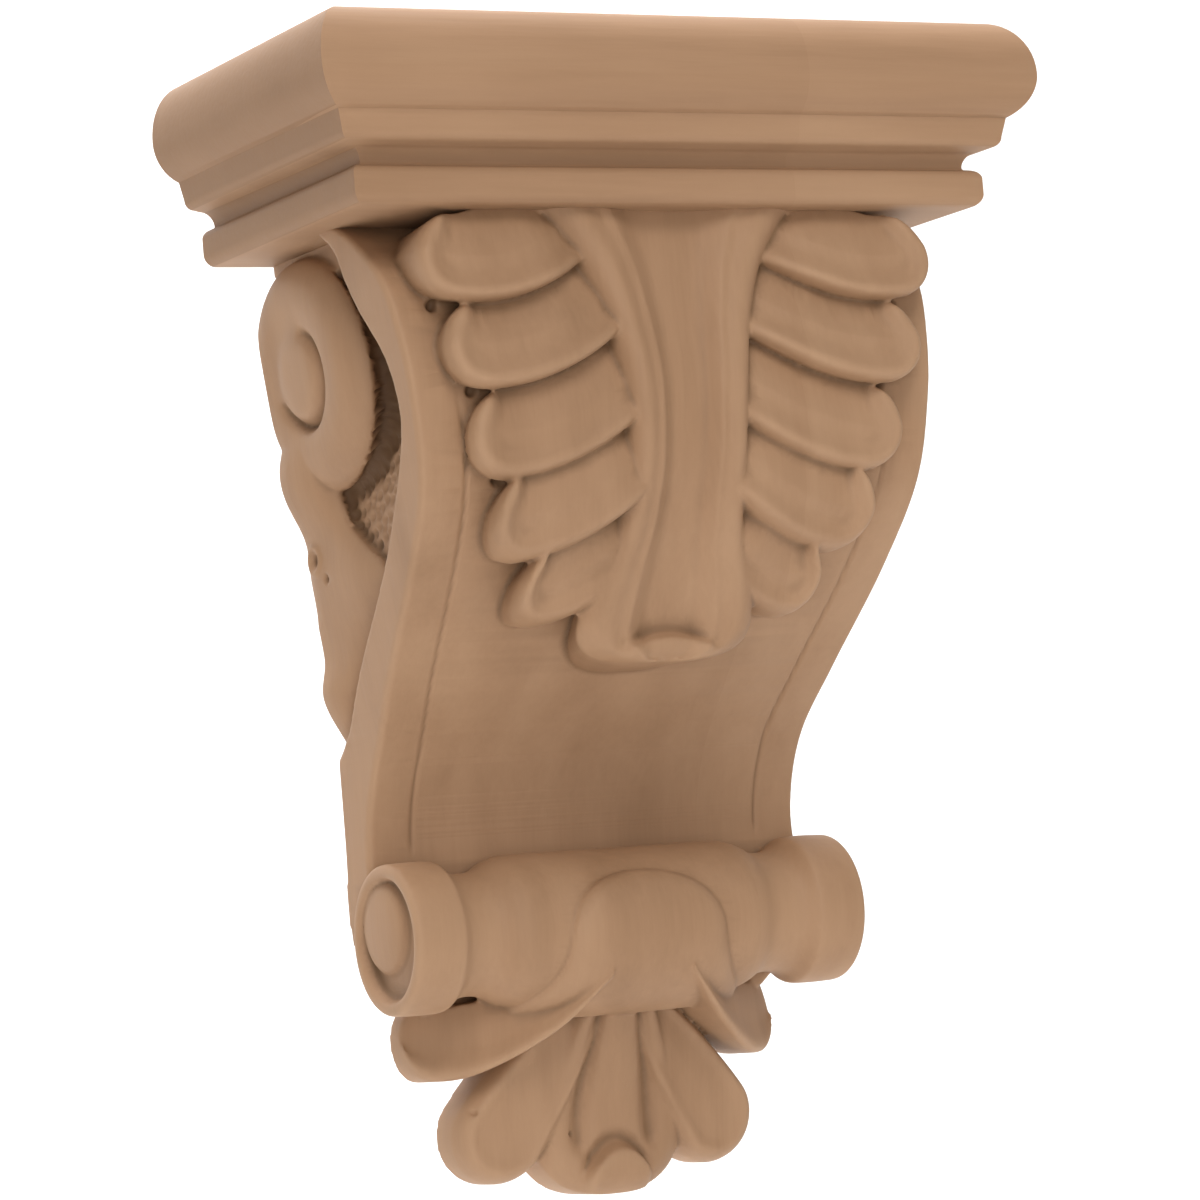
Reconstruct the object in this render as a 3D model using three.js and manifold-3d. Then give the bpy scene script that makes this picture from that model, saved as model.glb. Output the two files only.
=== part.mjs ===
// A carved wooden corbel: a moulded cap on a tapering scroll bracket, with a lobed leaf on the front,
// a volute on each flank, a turned roll near the foot and a small fluted leaf hanging below it.
// Millimetres, +Z up, the wall is the plane y = 0 and the front looks towards -Y.
import * as THREE from 'three';
import { mergeVertices } from 'three/addons/utils/BufferGeometryUtils.js';
import Module from 'manifold-3d';

// Overall sizes. "Depth" is measured out from the wall and "drop" down from the top of the cap.
const HEIGHT = 300;
const CAP_WIDTH = 208;
const CAP_DEPTH = 106;
const TOP = HEIGHT / 2;
const WALL_TRIM = 40;

// Cap moulding: a wide rounded nose, a fillet, an ovolo, a cove and a bead
const NOSE_REACH = 10.9;
const NOSE_RISE = 15.2;
const NOSE_FALL = 11.7;
const NOSE_END = THREE.MathUtils.degToRad(67);
const FILLET_INSET = 7.8;
const FILLET_DROP = 30.8;
const OVOLO_SIZE = 2.6;
const COVE_INSET = 15.9;
const COVE_DROP = 37.8;
const COVE_SIZE = 4;
const BEAD_INSET = 12.1;
const BEAD_ROUND = 3.4;
const BEAD_RISE = 2.8;
const CAP_DROP = 48.5;
const NOSE_STEPS = 6;
const ARC_STEPS = 3;

// Bracket: half width, front profile and the inner edge of the flank's raised rail, against drop
const BODY_TOP = 44;
const BODY_FOOT = 248;
const BODY_SECTIONS = 30;
const HALF_WIDTH = throughKnots([
  [44, 81.8], [80, 77.8], [140, 70.8], [165, 67], [179, 64.6], [200, 64.4], [228, 64.4], [240, 59], [250, 50],
]);
const FRONT = throughKnots([
  [44, 50], [53, 66], [65, 78.5], [80, 83.5], [97, 84.5], [119, 79.5],
  [140, 63], [165, 38], [184, 21.5], [202, 14.5], [226, 16], [250, 12],
]);
const RAIL_INNER = throughKnots([
  [44, 40], [53, 53], [62, 57], [70, 61.5], [84, 71.5], [97, 74.3], [107, 71],
  [121, 61.3], [137, 47.5], [158, 24], [172, 10], [181, 0], [250, 0],
]);
const POCKET_DEPTH = 9;
const OVERLAP = 2;
const BEHIND_WALL = 1;
const END_ANGLE = THREE.MathUtils.degToRad(82);

// Front leaf: five cupped lobes on each side of a hollow strap
const LEAF_TUCK = 79;
const LEAF_FULL_DROP = 80;
const LEAF_BED = 7;
const LOBES = [
  { root: [30, 52], tip: [74, 58.5], halfWidth: 11.4, stand: 4.5 },
  { root: [20, 69], tip: [69, 82.5], halfWidth: 11.4, stand: 3 },
  { root: [14, 89], tip: [63, 105.5], halfWidth: 11.4, stand: 1 },
  { root: [13, 109], tip: [55.5, 126], halfWidth: 10.8, stand: 2.5 },
  { root: [14, 128], tip: [43.5, 141.5], halfWidth: 10, stand: 4 },
];
const LOBE_SAG = 11;
const LOBE_RINGS = [4, 5];
const LOBE_ROUND_FROM = 0.78;
const LOBE_SPREAD = throughKnots([[0, 0.9], [0.6, 1], [1, 1]]);
const LOBE_TUCK = throughKnots([[0, 1.5], [0.4, 1.3], [0.75, 1], [1, 1]]);
const LOBE_SINK = throughKnots([[0, 0.4], [0.12, 0.75], [0.3, 1], [1, 1]]);
const LOBE_DISH = 5.2;
const LOBE_SECTION = throughKnots([
  [0, LOBE_DISH], [0.35, 5.6], [0.6, 7.2], [0.74, 7.8], [0.85, 7.2], [0.94, 5.2], [1, 2],
]);
const LOBE_ACROSS = [-1, -0.55, -0.1, 0.35, 0.6, 0.76, 0.9, 1];
const LOBE_COVER = 3;
const LOBE_COVER_END = 0.6;
const LOBE_UNDERCUT = 1.5;
const STRAP_TOP = 44;
const STRAP_TIP = 163;
const STRAP_ROUND = 13;
const STRAP_FULLNESS = 3;
const STRAP_UNDERCUT = throughKnots([[44, 1], [120, 1], [150, 0.66], [163, 0.6]]);
const STRAP_RINGS = [13, 5];
const STRAP_HALF = throughKnots([
  [44, 42], [52, 34], [65, 25.5], [85, 19.5], [110, 17.5], [130, 19], [148, 25], [163, 27],
]);
const STRAP_LIFT = throughKnots([[44, 1], [120, 0], [130, 2.5], [140, 6.5], [155, 14.5], [163, 19.5]]);
const STRAP_SECTION = throughKnots([[0, 3.6], [0.28, 4.1], [0.5, 7.5], [0.75, 8.5], [1, 7.6]]);
const STRAP_ROUNDING = throughKnots([[0, 0], [0.7, 0], [0.85, 0.6], [0.95, 2.4], [1, 4.6]]);
const STRAP_ACROSS = bothWays([0.28, 0.5, 0.7, 0.9, 1]);
const LIP_HALF = 12;
const LIP_RISE = 5;
const LIP_TOP = 157;
const LIP_ARCH = 4.5;
const LIP_EASE = 1.6;

// Flank volute: a round boss in a groove, with one rolled turn around it
const VOLUTE_DEPTH = 19.5;
const VOLUTE_DROP = 80.5;
const VOLUTE_SIDES = 28;
const VOLUTE_PROFILE = [
  [0, 8.8], [7.5, 8.5], [10.6, 7.4], [12.6, 4], [14.6, 7], [19, 8.2],
  [23.5, 7.8], [27, 6], [30, 2.8], [31, -1], [31, -3], [0, -3],
];
const TENDRIL_TOP = 96;
const TENDRIL_FOOT = 179;
const TENDRIL_RINGS = 14;
const TENDRIL_DEPTH = throughKnots([
  [96, 10], [104, 6], [112, 5], [122, 5], [132, 7], [141, 5], [146, 1], [163, 2], [180, 2],
]);
const TENDRIL_HALF = throughKnots([
  [96, 15], [104, 15], [112, 12], [122, 10], [132, 12], [141, 10], [146, 7], [163, 10], [180, 7],
]);
const TENDRIL_HEIGHT = throughKnots([
  [96, 8], [104, 9.6], [111, 9.2], [122, 5.6], [132, 6.4], [153, 6.2], [164, 9.2], [180, 4],
]);
const TENDRIL_SECTION = throughKnots([[0, 1], [0.35, 0.94], [0.7, 0.74], [1, 0.28]]);
const TENDRIL_ACROSS = bothWays([0.35, 0.7, 1]);

// Roll across the foot: a barrel, two hollow necks and two end drums with volute faces
const ROLL_DEPTH = 25;
const ROLL_DROP = 228.6;
const ROLL_SIDES = 28;
const BARREL_RADIUS = 20;
const DRUM_OUTER = 67;
const ROLL_PROFILE = [
  [BARREL_RADIUS, 0], [BARREL_RADIUS, 32], [18.8, 36.5], [16.6, 40.5], [16, 45.2], [16.8, 49.5],
  [18.7, 52.1], [19.7, 53.3], [19.7, 65.6], [18.4, DRUM_OUTER], [0, DRUM_OUTER],
];
const FACE_PROFILE = [[0, -3.4], [15.1, -3.4], [16.6, 0], [16.6, 2], [0, 2]];
const BOSS_PROFILE = [[0, 3.2], [8.2, 2.7], [11.2, 1.8], [13, 0], [13, -2], [0, -2]];
const BOSS_DEPTH = 23.5;
const BOSS_DROP = 225.6;
const BOSS_SEAT = 3.4;

// Leaf over the roll: a tongue, two side leaves close to the wall, and the fluted drop
const TONGUE_APEX = 40;
const TONGUE_FOOT = -86;
const TONGUE_RINGS = [5, 5];
const TONGUE_ROUND_FROM = 0.62;
const TONGUE_HALF = throughKnots([[0, 34], [0.2, 30], [0.4, 25], [0.62, 22.5], [1, 22.5]]);
const TONGUE_SECTION = throughKnots([[0, 4], [0.4, 3.95], [0.7, 3.5], [0.88, 2.7], [1, 1.2]]);
const TONGUE_ACROSS = bothWays([0.3, 0.6, 0.86, 1]);
const TONGUE_BED = 5;
const SIDE_LEAF_RINGS = [7, 3];
const SIDE_LEAF = {
  x: throughKnots([[0, 12], [0.3, 25], [0.65, 42], [1, 56]]),
  drop: throughKnots([[0, 238], [0.3, 249], [0.65, 256], [1, 255.5]]),
  depth: throughKnots([[0, 40], [0.3, 29], [0.65, 16], [1, 6]]),
  half: throughKnots([[0, 5], [0.3, 7], [0.65, 9.5], [1, 10]]),
};
const SIDE_LEAF_ROUND_FROM = 0.84;
const SIDE_LEAF_SECTION = throughKnots([[-1, -1], [-0.5, 0], [0.2, 1], [0.7, 2.4], [1, 0]]);
const SIDE_LEAF_ACROSS = [-1, -0.6, -0.2, 0.2, 0.6, 0.85, 1];
const DROP_SIDE_RINGS = [5, 5];
const DROP_SIDE_ROOT = [8, 249];
const DROP_SIDE_TIP = [39.5, 292];
const DROP_SIDE_HALF = 12.8;
const DROP_SIDE_ROUND_FROM = 0.755;
const DROP_SIDE_DEPTH = [24, 14];
const DROP_SIDE_SPREAD = throughKnots([[0, 0.4], [0.35, 0.8], [0.7, 1], [1, 1]]);
const DROP_SIDE_ACROSS = bothWays([0.5, 0.85, 1]);
const DROP_TOP = 244;
const DROP_TIP = 300;
const DROP_RINGS = [7, 6];
const DROP_ROUND_FROM = 0.64;
const DROP_FULLNESS = 2.5;
const DROP_HALF = throughKnots([[0, 9], [0.3, 16.5], [0.6, 22], [1, 22]]);
const DROP_FRONT = throughKnots([[0, 30], [0.3, 24], [0.62, 18.4], [1, 18]]);
const DROP_FALL = throughKnots([[0, 0], [0.5, 0.2], [0.8, 1.8], [0.92, 3.7], [1, 6]]);
const DROP_GROOVE = throughKnots([[0, 0], [0.3, 0.25], [0.48, 1], [0.62, 0.3], [0.75, 0], [1, 0]]);
const DROP_FLUTE = throughKnots([[0, 3.2], [0.7, 3.2], [0.85, 0], [1, 0]]);
const DROP_CURL = throughKnots([[0, 0], [0.72, 0], [0.84, 4], [1, 3]]);
const DROP_LIP_HALF = 11;
const DROP_ACROSS = bothWays([0.3, 0.44, 0.52, 0.66, 0.88, 1]);

const WOOD = { color: 0x9c7b60, roughness: 0.62, metalness: 0 };

// A smooth curve through a few (place, value) knots, as a function of the place
function throughKnots(knots) {
  const slope = (i) => {
    const before = knots[Math.max(i - 1, 0)];
    const after = knots[Math.min(i + 1, knots.length - 1)];
    return (after[1] - before[1]) / (after[0] - before[0]);
  };
  return (place) => {
    const clamped = THREE.MathUtils.clamp(place, knots[0][0], knots[knots.length - 1][0]);
    let i = 0;
    while (i < knots.length - 2 && clamped > knots[i + 1][0]) i += 1;
    const span = knots[i + 1][0] - knots[i][0];
    const t = (clamped - knots[i][0]) / span;
    const pull = span * t * (1 - t);
    const straight = THREE.MathUtils.lerp(knots[i][1], knots[i + 1][1], t * t * (3 - 2 * t));
    return straight + pull * ((1 - t) * slope(i) - t * slope(i + 1));
  };
}

// Places across a form, mirrored about its middle
function bothWays(places) {
  return [...places.map((place) => -place).reverse(), 0, ...places];
}

const slopeOf = (curve, place) => curve(place + 0.5) - curve(place - 0.5);
const at = (x, depth, drop) => new THREE.Vector3(x, -depth, TOP - drop);
const steps = (count) => Array.from({ length: count + 1 }, (_, i) => i / count);

// Stations along a form with a rounded end: the share of its length, how much of the width is left
// there, and a function from the place across it to how near the edge that place is (1 on the edge)
function roundedShares([straight, curved], from, fullness = 2) {
  const station = (share, keep, past) => ({
    share,
    keep,
    past,
    edgeward: (side) => (past ** fullness + (keep * Math.abs(side)) ** fullness) ** (1 / fullness),
  });
  const shaft = steps(straight).map((t) => station(t * from, 1, 0));
  const end = steps(curved).slice(1).map((t) => {
    const angle = t * END_ANGLE;
    const past = Math.sin(angle) ** (2 / fullness);
    return station(THREE.MathUtils.lerp(from, 1, past), Math.cos(angle) ** (2 / fullness), past);
  });
  return [...shaft, ...end];
}

// Closed skin through rings of equally many points, with a fan over each end
function skin(rings) {
  const count = rings[0].length;
  const points = rings.flat();
  const index = [];
  for (let r = 0; r < rings.length - 1; r += 1) {
    for (let i = 0; i < count; i += 1) {
      const a = r * count + i;
      const b = r * count + (i + 1) % count;
      index.push(a, b, b + count, a, b + count, a + count);
    }
  }
  const ends = [[0, 1], [(rings.length - 1) * count, -1]];
  for (const [start, turn] of ends) {
    const middle = new THREE.Vector3();
    for (let i = 0; i < count; i += 1) middle.addScaledVector(points[start + i], 1 / count);
    const hub = points.push(middle) - 1;
    for (let i = 0; i < count; i += 1) {
      const a = start + i;
      const b = start + (i + 1) % count;
      if (turn > 0) index.push(hub, b, a);
      else index.push(hub, a, b);
    }
  }
  const geometry = new THREE.BufferGeometry().setFromPoints(points);
  geometry.setIndex(index);
  return geometry;
}

const wasm = await Module();
wasm.setup();

// A closed solid from a geometry, turned so that its faces point outwards
function solid(geometry) {
  geometry.deleteAttribute('normal');
  geometry.deleteAttribute('uv');
  const merged = mergeVertices(geometry, 1e-4);
  const position = merged.attributes.position;
  const corners = [0, 1, 2].map(() => new THREE.Vector3());
  const faces = [];
  let volume = 0;
  for (let f = 0; f < merged.index.count; f += 3) {
    const face = [0, 1, 2].map((k) => merged.index.getX(f + k));
    if (new Set(face).size < 3) continue;
    face.forEach((vertex, k) => corners[k].fromBufferAttribute(position, vertex));
    volume += corners[0].dot(corners[1].clone().cross(corners[2]));
    faces.push(face);
  }
  const outward = volume < 0 ? faces.map((face) => face.toReversed()) : faces;
  return new wasm.Manifold(new wasm.Mesh({
    numProp: 3,
    vertProperties: Float32Array.from(position.array),
    triVerts: Uint32Array.from(outward.flat()),
  }));
}

// The same geometry on the other flank
const mirrored = (geometry) => geometry.clone().scale(-1, 1, 1);
const bothFlanks = (geometry) => [solid(mirrored(geometry)), solid(geometry)];

function arc(inset, drop, width, height, from, to, count) {
  return steps(count).map((t) => {
    const angle = THREE.MathUtils.lerp(from, to, t);
    return [inset - width * Math.cos(angle), drop - height * Math.sin(angle)];
  });
}

// Cap: the moulding's section is swept round three sides and cut flat at the wall
function cap() {
  const quarter = Math.PI / 2;
  const beadMiddle = BEAD_INSET + BEAD_ROUND;
  const section = [
    ...arc(NOSE_REACH, NOSE_RISE, NOSE_REACH, NOSE_RISE, quarter, 0, NOSE_STEPS),
    ...arc(NOSE_REACH, NOSE_RISE, NOSE_REACH, NOSE_FALL, -NOSE_END / 4, -NOSE_END, ARC_STEPS),
    ...arc(FILLET_INSET + OVOLO_SIZE, FILLET_DROP, OVOLO_SIZE, OVOLO_SIZE, 0, -quarter, ARC_STEPS),
    ...arc(COVE_INSET - COVE_SIZE, COVE_DROP, COVE_SIZE, COVE_SIZE, quarter, 2 * quarter, ARC_STEPS),
    ...arc(beadMiddle, COVE_DROP + BEAD_ROUND, BEAD_ROUND, BEAD_RISE, quarter, 0, ARC_STEPS),
    ...arc(beadMiddle, CAP_DROP - BEAD_ROUND, BEAD_ROUND, BEAD_ROUND, 0, -quarter, ARC_STEPS),
  ];
  return skin(section.map(([inset, drop]) => {
    const half = CAP_WIDTH / 2 - inset;
    const front = CAP_DEPTH - inset;
    return [at(-half, 0, drop), at(-half, front, drop), at(half, front, drop), at(half, 0, drop)];
  }));
}

const bodyDrops = steps(BODY_SECTIONS).map((t) => THREE.MathUtils.lerp(BODY_TOP, BODY_FOOT, t));

function core() {
  return skin(bodyDrops.map((drop) => {
    const half = HALF_WIDTH(drop) - POCKET_DEPTH;
    const front = FRONT(drop);
    return [at(-half, 0, drop), at(-half, front, drop), at(half, front, drop), at(half, 0, drop)];
  }));
}

// Raised rail along one flank, which follows the front edge and closes the pocket behind it
function rail() {
  return skin(bodyDrops.map((drop) => {
    const outer = HALF_WIDTH(drop);
    const inner = outer - POCKET_DEPTH - OVERLAP;
    const front = FRONT(drop);
    const back = Math.max(0, RAIL_INNER(drop));
    return [at(inner, back, drop), at(inner, front, drop), at(outer, front, drop), at(outer, back, drop)];
  }));
}

// The leaf stays proud of the bracket where the bracket's front rolls back under the cap
function leafBase(drop) {
  const tucked = THREE.MathUtils.mapLinear(drop, BODY_TOP, LEAF_FULL_DROP, LEAF_TUCK, FRONT(LEAF_FULL_DROP));
  return drop < LEAF_FULL_DROP ? tucked : FRONT(drop);
}

// The leaf is rooted in the bracket behind it, also where that lies further back
const leafBed = (drop) => Math.min(leafBase(drop), FRONT(drop)) - LEAF_BED;

// Depth of a point that stands a given height off the leaf's base, measured square to the slope
function proud(drop, height) {
  return leafBase(drop) + height * Math.hypot(1, slopeOf(leafBase, drop));
}

// One cupped lobe: low where the lobe above covers it, highest along its rolled lower rim
function lobe({ root, tip, halfWidth, stand }) {
  const start = new THREE.Vector2(...root);
  const end = new THREE.Vector2(...tip);
  const bend = start.clone().lerp(end, 0.5).add(new THREE.Vector2(0, LOBE_SAG));
  const spine = new THREE.QuadraticBezierCurve(start, bend, end);
  return skin(roundedShares(LOBE_RINGS, LOBE_ROUND_FROM).map(({ share, keep, past, edgeward }) => {
    const along = spine.getTangent(share);
    const downward = new THREE.Vector2(-along.y, along.x);
    const half = halfWidth * keep * LOBE_SPREAD(share);
    const place = (reach) => spine.getPoint(share).addScaledVector(downward, reach);
    const top = LOBE_ACROSS.map((side) => {
      const reach = side < 0 ? side * LOBE_TUCK(share) : side;
      const spot = place(half * reach);
      const covered = side < 0 ? 1 - THREE.MathUtils.smoothstep(past, 0, LOBE_COVER_END) : 0;
      const hidden = LOBE_DISH + LOBE_COVER * reach;
      const lift = THREE.MathUtils.lerp(LOBE_SECTION(edgeward(side)), hidden, covered);
      return at(spot.x, proud(spot.y, (stand + lift) * LOBE_SINK(share)), spot.y);
    });
    const bed = [1, -1].map((side) => {
      const spot = place(Math.max(half - LOBE_UNDERCUT, half / 4) * side);
      spot.addScaledVector(along, -LOBE_UNDERCUT * past);
      return at(spot.x, leafBed(spot.y), spot.y);
    });
    return [...top, ...bed];
  }));
}

// Central strap: two rolled rims beside a hollow, flaring under the cap and curling out at its tip
function strap() {
  const roundFrom = 1 - STRAP_ROUND / (STRAP_TIP - STRAP_TOP);
  return skin(roundedShares(STRAP_RINGS, roundFrom, STRAP_FULLNESS).map(({ share, keep, edgeward }) => {
    const drop = THREE.MathUtils.lerp(STRAP_TOP, STRAP_TIP, share);
    const half = STRAP_HALF(drop) * keep;
    const base = leafBase(drop) + STRAP_LIFT(drop);
    const top = STRAP_ACROSS.map((side) => {
      const out = (side * half / LIP_HALF) ** 2;
      const below = drop - LIP_TOP - LIP_ARCH * out;
      const lip = LIP_RISE * Math.max(0, 1 - out) * THREE.MathUtils.smoothstep(below, -LIP_EASE, LIP_EASE);
      const rim = STRAP_SECTION(Math.abs(side)) - STRAP_ROUNDING(edgeward(side));
      return at(half * side, base + rim + lip, drop);
    });
    const under = leafBed(drop);
    const foot = half * STRAP_UNDERCUT(drop);
    return [...top, at(foot, under, drop), at(-foot, under, drop)];
  }));
}

// A lathe whose axis runs along X, out from the flank
function turnedAcross(profile, sides) {
  const outline = profile.map(([radius, height]) => new THREE.Vector2(radius, height));
  return new THREE.LatheGeometry(outline, sides).rotateZ(-Math.PI / 2);
}

function volute() {
  const lean = Math.atan(slopeOf(HALF_WIDTH, VOLUTE_DROP));
  const centre = at(HALF_WIDTH(VOLUTE_DROP) - POCKET_DEPTH, VOLUTE_DEPTH, VOLUTE_DROP);
  return turnedAcross(VOLUTE_PROFILE, VOLUTE_SIDES).rotateY(-lean).translate(centre.x, centre.y, centre.z);
}

// Tendril that leaves the volute and runs down the back edge of the flank to a rounded end
function tendril() {
  return skin(steps(TENDRIL_RINGS).map((t) => {
    const drop = THREE.MathUtils.lerp(TENDRIL_TOP, TENDRIL_FOOT, t);
    const ground = HALF_WIDTH(drop) - POCKET_DEPTH;
    const half = TENDRIL_HALF(drop);
    const crown = TENDRIL_ACROSS.map((side) => {
      const rise = TENDRIL_HEIGHT(drop) * TENDRIL_SECTION(Math.abs(side));
      return at(ground + rise, TENDRIL_DEPTH(drop) + half * side, drop);
    });
    const under = [1, -1].map((side) => at(ground - OVERLAP, TENDRIL_DEPTH(drop) + half * side, drop));
    return [...crown, ...under];
  }));
}

function roll() {
  const other = ROLL_PROFILE.slice(1).map(([radius, reach]) => [radius, -reach]).reverse();
  const centre = at(0, ROLL_DEPTH, ROLL_DROP);
  return turnedAcross([...other, ...ROLL_PROFILE], ROLL_SIDES).translate(centre.x, centre.y, centre.z);
}

// Sunk face of an end drum, and the boss that stands off-centre in it
function drumFace() {
  const centre = at(DRUM_OUTER, ROLL_DEPTH, ROLL_DROP);
  return turnedAcross(FACE_PROFILE, ROLL_SIDES).translate(centre.x, centre.y, centre.z);
}

function drumBoss() {
  const centre = at(DRUM_OUTER - BOSS_SEAT, BOSS_DEPTH, BOSS_DROP);
  return turnedAcross(BOSS_PROFILE, ROLL_SIDES).translate(centre.x, centre.y, centre.z);
}

// Tongue of leaf that laps over the barrel, laid out by angle round the roll
function tongue() {
  return skin(roundedShares(TONGUE_RINGS, TONGUE_ROUND_FROM).map(({ share, keep, edgeward }) => {
    const angle = THREE.MathUtils.degToRad(THREE.MathUtils.lerp(TONGUE_FOOT, TONGUE_APEX, share));
    const spot = (side, radius) => at(
      TONGUE_HALF(share) * keep * side,
      ROLL_DEPTH + radius * Math.cos(angle),
      ROLL_DROP - radius * Math.sin(angle),
    );
    const top = TONGUE_ACROSS.map((side) => spot(side, BARREL_RADIUS + TONGUE_SECTION(edgeward(side))));
    const under = BARREL_RADIUS - TONGUE_BED;
    return [...top, spot(1, under), spot(-1, under)];
  }));
}

// Side leaf that sweeps from the tongue out under the roll and ends against the wall
function sideLeaf() {
  return skin(roundedShares(SIDE_LEAF_RINGS, SIDE_LEAF_ROUND_FROM).map(({ share, keep }) => {
    const half = SIDE_LEAF.half(share) * keep;
    const front = SIDE_LEAF.depth(share);
    const x = SIDE_LEAF.x(share);
    const drop = SIDE_LEAF.drop(share);
    const top = SIDE_LEAF_ACROSS.map((side) => at(x, front + SIDE_LEAF_SECTION(side), drop + half * side));
    return [...top, at(x, -BEHIND_WALL, drop + half), at(x, -BEHIND_WALL, drop - half)];
  }));
}

// Side lobe of the drop, a plain convex petal
function dropSide() {
  const start = new THREE.Vector2(...DROP_SIDE_ROOT);
  const end = new THREE.Vector2(...DROP_SIDE_TIP);
  const along = end.clone().sub(start).normalize();
  const outward = new THREE.Vector2(along.y, -along.x);
  return skin(roundedShares(DROP_SIDE_RINGS, DROP_SIDE_ROUND_FROM).map(({ share, keep, edgeward }) => {
    const half = DROP_SIDE_HALF * DROP_SIDE_SPREAD(share) * keep;
    const front = THREE.MathUtils.lerp(...DROP_SIDE_DEPTH, share);
    const middle = start.clone().lerp(end, share);
    const place = (side, depth) => {
      const spot = middle.clone().addScaledVector(outward, half * side);
      return at(spot.x, depth, spot.y);
    };
    const top = DROP_SIDE_ACROSS.map((side) => place(side, front - DROP_FALL(edgeward(side))));
    return [...top, place(1, -BEHIND_WALL), place(-1, -BEHIND_WALL)];
  }));
}

// Middle lobe of the drop: three flutes, with a small lip turned up at the tip
function dropMiddle() {
  return skin(roundedShares(DROP_RINGS, DROP_ROUND_FROM, DROP_FULLNESS).map(({ share, keep, edgeward }) => {
    const drop = THREE.MathUtils.lerp(DROP_TOP, DROP_TIP, share);
    const half = DROP_HALF(share) * keep;
    const top = DROP_ACROSS.map((side) => {
      const lip = DROP_CURL(share) * Math.max(0, 1 - (side * half / DROP_LIP_HALF) ** 2);
      const flute = DROP_FLUTE(share) * DROP_GROOVE(Math.abs(side));
      return at(half * side, DROP_FRONT(share) - flute - DROP_FALL(edgeward(side)) + lip, drop);
    });
    return [...top, at(half, -BEHIND_WALL, drop), at(-half, -BEHIND_WALL, drop)];
  }));
}

// Everything is one piece of wood: join the forms, sink the drum faces and trim flat at the wall
const forms = [
  solid(cap()), solid(core()), ...bothFlanks(rail()),
  ...LOBES.flatMap((sizes) => bothFlanks(lobe(sizes))), solid(strap()),
  ...bothFlanks(volute()), ...bothFlanks(tendril()),
];
const foot = [solid(tongue()), ...bothFlanks(sideLeaf()), ...bothFlanks(dropSide()), solid(dropMiddle())];
const join = (parts) => parts.reduce((whole, part) => whole.add(part));
const sunkRoll = bothFlanks(drumFace()).reduce((whole, face) => whole.subtract(face), solid(roll()));
const carved = join([...forms, sunkRoll, ...bothFlanks(drumBoss()), ...foot]);
const behindWall = new THREE.BoxGeometry(2 * CAP_WIDTH, WALL_TRIM, 2 * HEIGHT).translate(0, WALL_TRIM / 2, 0);
const trimmed = carved.subtract(solid(behindWall));

const mesh = trimmed.getMesh();
const surface = new THREE.BufferGeometry();
surface.setAttribute('position', new THREE.BufferAttribute(mesh.vertProperties, 3));
surface.setIndex(new THREE.BufferAttribute(mesh.triVerts, 1));
surface.computeVertexNormals();

const corbel = new THREE.Mesh(surface, new THREE.MeshStandardMaterial(WOOD));
corbel.name = 'corbel';

const part = new THREE.Group();
part.add(corbel);

export default part;
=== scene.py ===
# %% [markdown]
# A carved wooden corbel, seen from its lower left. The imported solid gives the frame: the wall is the
# plane y = 0, the front looks towards -Y and +Z is up. This lesson carves the same forms again at a
# much finer step, joins them into one skin, and gives that skin the look of raw, sanded hardwood.

# %% Load the frame
import math

import bmesh
import bpy
import numpy as np
from mathutils import Matrix, Vector
from mathutils.kdtree import KDTree


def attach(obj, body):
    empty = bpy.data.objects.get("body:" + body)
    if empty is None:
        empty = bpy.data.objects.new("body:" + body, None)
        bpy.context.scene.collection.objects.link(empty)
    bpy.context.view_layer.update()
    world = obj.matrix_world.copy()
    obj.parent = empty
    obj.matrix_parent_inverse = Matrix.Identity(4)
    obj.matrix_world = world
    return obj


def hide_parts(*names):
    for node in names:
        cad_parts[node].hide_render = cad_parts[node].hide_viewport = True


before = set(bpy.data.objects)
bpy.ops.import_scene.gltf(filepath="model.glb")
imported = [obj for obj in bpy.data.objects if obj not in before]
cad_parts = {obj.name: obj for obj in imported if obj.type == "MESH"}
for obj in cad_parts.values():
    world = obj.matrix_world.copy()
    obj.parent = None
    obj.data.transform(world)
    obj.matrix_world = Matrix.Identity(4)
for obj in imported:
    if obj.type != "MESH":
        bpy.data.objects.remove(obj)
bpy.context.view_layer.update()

# %% [markdown]
# A carver draws a profile by springing a thin batten through a few marked points. The helper below does
# the same: it bends one smooth curve through a handful of (place, value) knots. All sizes are in
# millimetres, "depth" is measured out from the wall and "drop" down from the top of the cap.

# %% Curves through knots
MILLIMETRE = 0.001
HEIGHT = 300
CAP_WIDTH = 208
CAP_DEPTH = 106


def batten(*knots):
    places, values = np.array(knots, float).T
    order = np.arange(len(places))
    ahead = np.minimum(order + 1, len(places) - 1)
    behind = np.maximum(order - 1, 0)
    slopes = (values[ahead] - values[behind]) / (places[ahead] - places[behind])

    def curve(place):
        place = np.clip(place, places[0], places[-1])
        i = np.clip(np.searchsorted(places, place) - 1, 0, len(places) - 2)
        span = places[i + 1] - places[i]
        t = (place - places[i]) / span
        straight = values[i] + (values[i + 1] - values[i]) * t * t * (3 - 2 * t)
        return straight + span * t * (1 - t) * ((1 - t) * slopes[i] - t * slopes[i + 1])

    return curve


def slope_of(curve, place):
    return curve(place + 0.5) - curve(place - 0.5)


def smoothstep(value, low, high):
    t = np.clip((value - low) / (high - low), 0, 1)
    return t * t * (3 - 2 * t)


def at(x, depth, drop):
    x, depth, drop = np.broadcast_arrays(x, depth, drop)
    return np.stack([x, -depth, HEIGHT / 2 - drop], axis=-1)


# %% [markdown]
# Every carved form here is a loft: a stack of rings with the same number of points, closed at both ends.
# Leaves end in a round tip, so their rings crowd together near the end. For each ring a form needs to
# know how much of its width is left, and how near the edge each point is, because rims follow the edge.

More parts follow.
